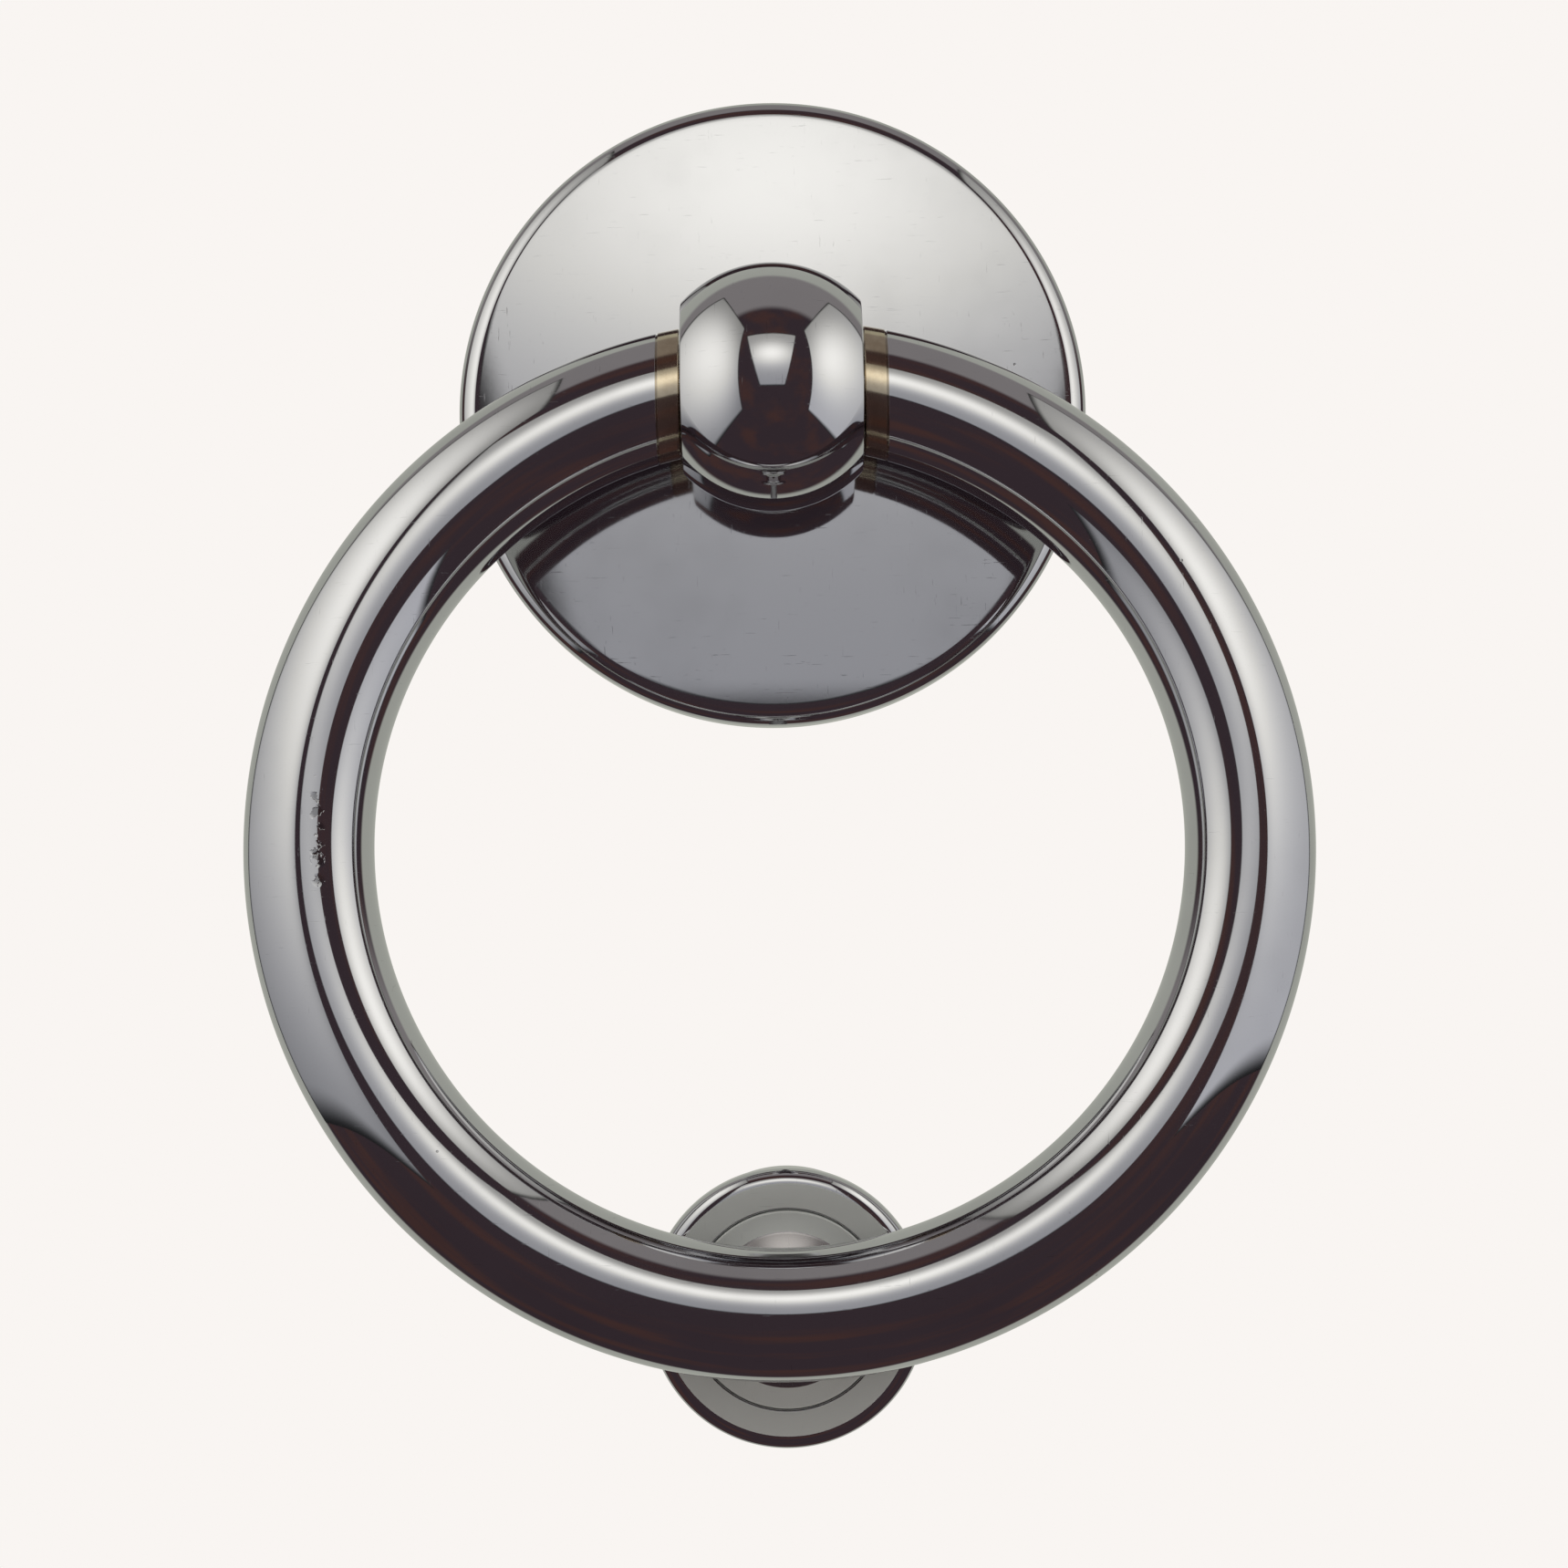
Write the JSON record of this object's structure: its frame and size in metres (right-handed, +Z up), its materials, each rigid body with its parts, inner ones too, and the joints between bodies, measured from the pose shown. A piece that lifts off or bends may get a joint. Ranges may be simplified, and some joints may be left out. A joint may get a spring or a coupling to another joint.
{
  "type": "door knocker",
  "caption": "Ring door knocker with a round domed backplate, a ball knuckle, a swinging ring with brass collars and a separate round striker.",
  "frame": {"origin": "middle of the backplate's back face, which lies on the door", "axes": "+Z up the door, +Y into the door, +X to the right as seen from in front; the front faces -Y"},
  "size_m": [0.1031, 0.0878, 0.136],
  "materials": {
    "chrome": "polished chrome plate over brass",
    "brass": "turned brass, unplated",
    "steel": "bright zinc-plated steel",
    "black_steel": "black oxide steel"
  },
  "bodies": {
    "fixed": {"backplate": "chrome", "knuckle": "chrome", "post_nut": "steel", "post_lock_washer": "steel", "anti_turn_dowel": "steel", "bush_left": "brass", "bush_right": "brass", "head_stud": "steel", "striker_body": "chrome", "striker_anvil": "chrome", "striker_stud": "steel"},
    "swing_ring": {"ring": "chrome", "collar_left": "brass", "collar_right": "brass", "pivot_pin_left": "steel", "pivot_pin_right": "steel", "pin_grub_screws": "black_steel"}
  },
  "joints": [
    {"name": "ring_swing", "type": "hinge", "parent": "fixed", "child": "swing_ring", "pos_m": [0, -0.0205, 0], "axis": [-1, 0, 0], "range_deg": [0, 180]}
  ]
}
